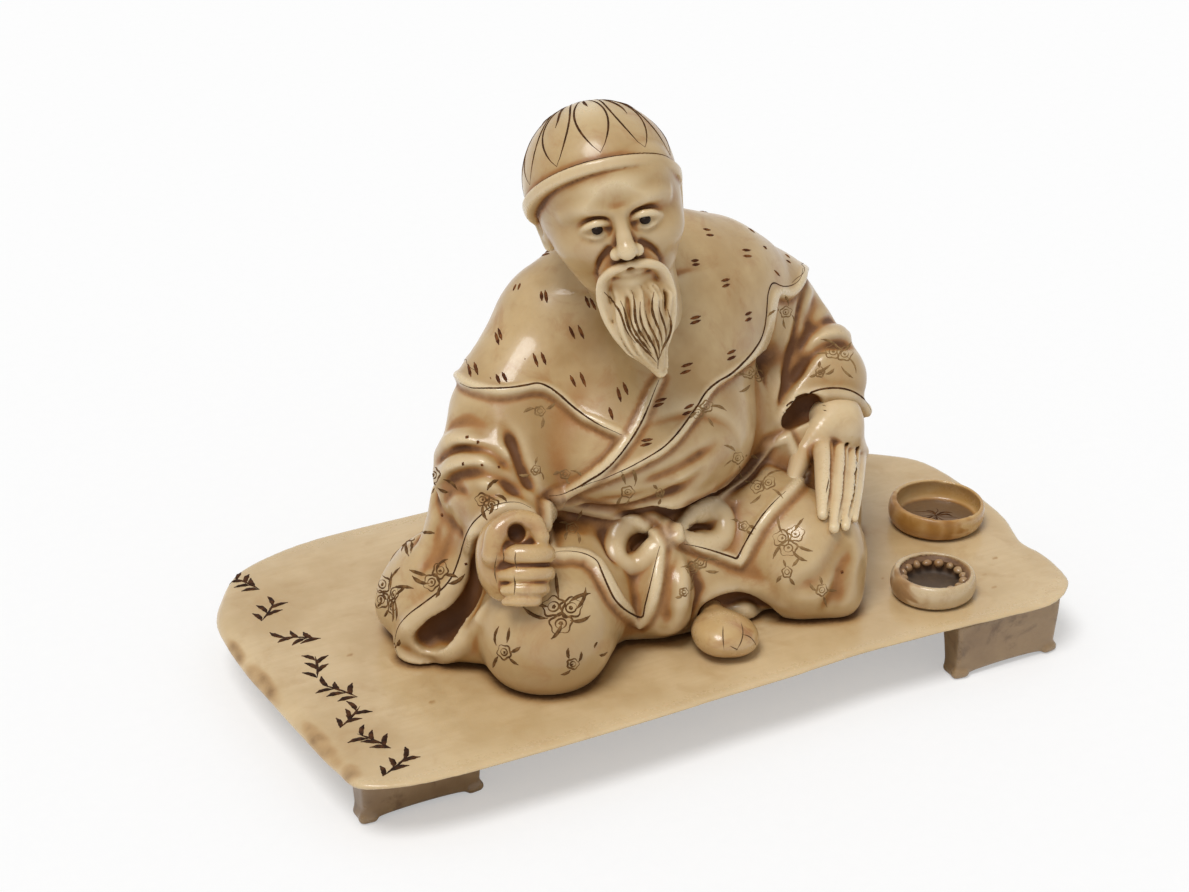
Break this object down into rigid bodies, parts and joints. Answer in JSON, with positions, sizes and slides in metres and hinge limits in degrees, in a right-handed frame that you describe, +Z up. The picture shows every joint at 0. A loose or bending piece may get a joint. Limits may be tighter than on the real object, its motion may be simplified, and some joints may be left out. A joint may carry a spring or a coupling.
{
  "type": "seated figure carving",
  "caption": "Ivory-coloured carving of a bearded seated man in a cap and a caped robe, on a thin board with bracket feet and bowls.",
  "frame": {"origin": "on the ground, below the middle of the board", "axes": "+X along the board to the side with the bowls, +Y from the figure's face towards its back, +Z up"},
  "size_m": [0.15, 0.088, 0.1074],
  "materials": {
    "cream_ivory": "polished ivory, brown stain in the cuts",
    "yellowed_ivory": "polished, yellowed and finely cracked ivory",
    "tan_ivory": "polished tan ivory with a lengthwise grain",
    "amber_ivory": "polished ivory stained amber",
    "pale_ivory": "polished pale ivory",
    "peg_ivory": "plain turned ivory",
    "dark_horn": "polished dark horn"
  },
  "bodies": {
    "root": {"base_board": "tan_ivory", "foot_front_left": "tan_ivory", "foot_front_right": "tan_ivory", "foot_rear_left": "tan_ivory", "foot_rear_right": "tan_ivory", "figure_body": "cream_ivory", "head": "cream_ivory", "left_hand": "cream_ivory", "right_hand": "yellowed_ivory", "bare_foot": "yellowed_ivory", "large_bowl": "amber_ivory", "small_bowl": "pale_ivory", "eye_inlay_left": "dark_horn", "eye_inlay_right": "dark_horn", "neck_peg": "peg_ivory", "right_wrist_peg": "peg_ivory", "left_wrist_peg": "peg_ivory", "bare_foot_peg": "peg_ivory", "figure_peg_left": "peg_ivory", "figure_peg_right": "peg_ivory", "foot_peg_front_left": "peg_ivory", "foot_peg_front_right": "peg_ivory", "foot_peg_rear_left": "peg_ivory", "foot_peg_rear_right": "peg_ivory"}
  },
  "joints": []
}
